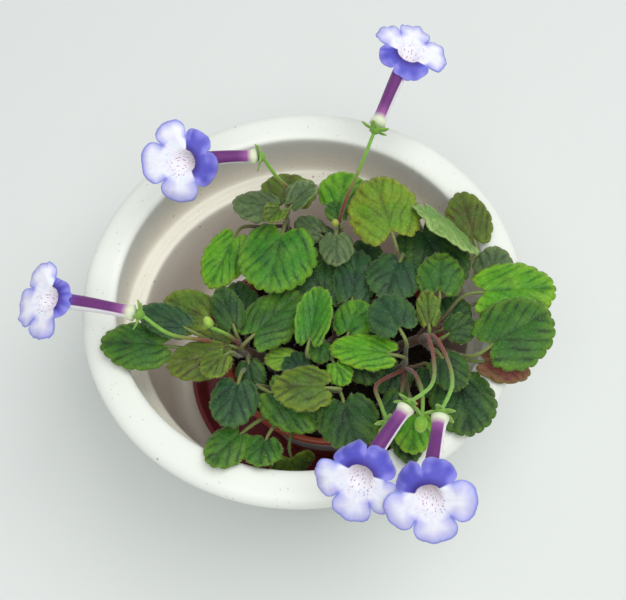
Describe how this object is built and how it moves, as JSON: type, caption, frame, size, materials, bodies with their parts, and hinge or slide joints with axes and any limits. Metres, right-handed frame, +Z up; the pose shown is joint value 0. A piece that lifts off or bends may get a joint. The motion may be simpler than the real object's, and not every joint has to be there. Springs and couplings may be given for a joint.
{
  "type": "potted miniature sinningia",
  "caption": "Miniature flowering sinningia with crenate quilted leaves and long-tubed violet and white blooms, in a terracotta-coloured pot on a burgundy saucer inside a wide white speckled planter.",
  "frame": {"origin": "middle of the planter's flat base, on the surface that it stands on", "axes": "+Z up out of the planter, +X to the right and +Y to the back as the picture sees it"},
  "size_m": [0.178, 0.1804, 0.113],
  "materials": {
    "planter_resin": "satin off-white with sparse grey specks",
    "saucer_burgundy": "satin dark burgundy",
    "terracotta": "satin terracotta-coloured plastic",
    "label_plastic": "matt, bare",
    "soil": "dark peaty potting mix with pale grains",
    "foliage": "soft quilted leaf with fine white hairs, green with bronze shading",
    "petals": "thin translucent petal, white with blue-violet margins and a purple tube"
  },
  "bodies": {
    "root": {"planter_bowl": "planter_resin", "pot_saucer": "saucer_burgundy", "nursery_pot": "terracotta", "plant_label": "label_plastic", "potting_soil": "soil", "leafy_stem_back_left": "foliage", "leafy_stem_left": "foliage", "leafy_stem_back": "foliage", "leafy_stem_back_right": "foliage", "leafy_stem_right": "foliage", "leafy_stem_front_right": "foliage", "leafy_stem_front": "foliage", "leafy_stem_centre": "foliage", "bloom_back": "petals", "bloom_back_left": "petals", "bloom_left": "petals", "bloom_front_left": "petals", "bloom_front_right": "petals"}
  },
  "joints": []
}
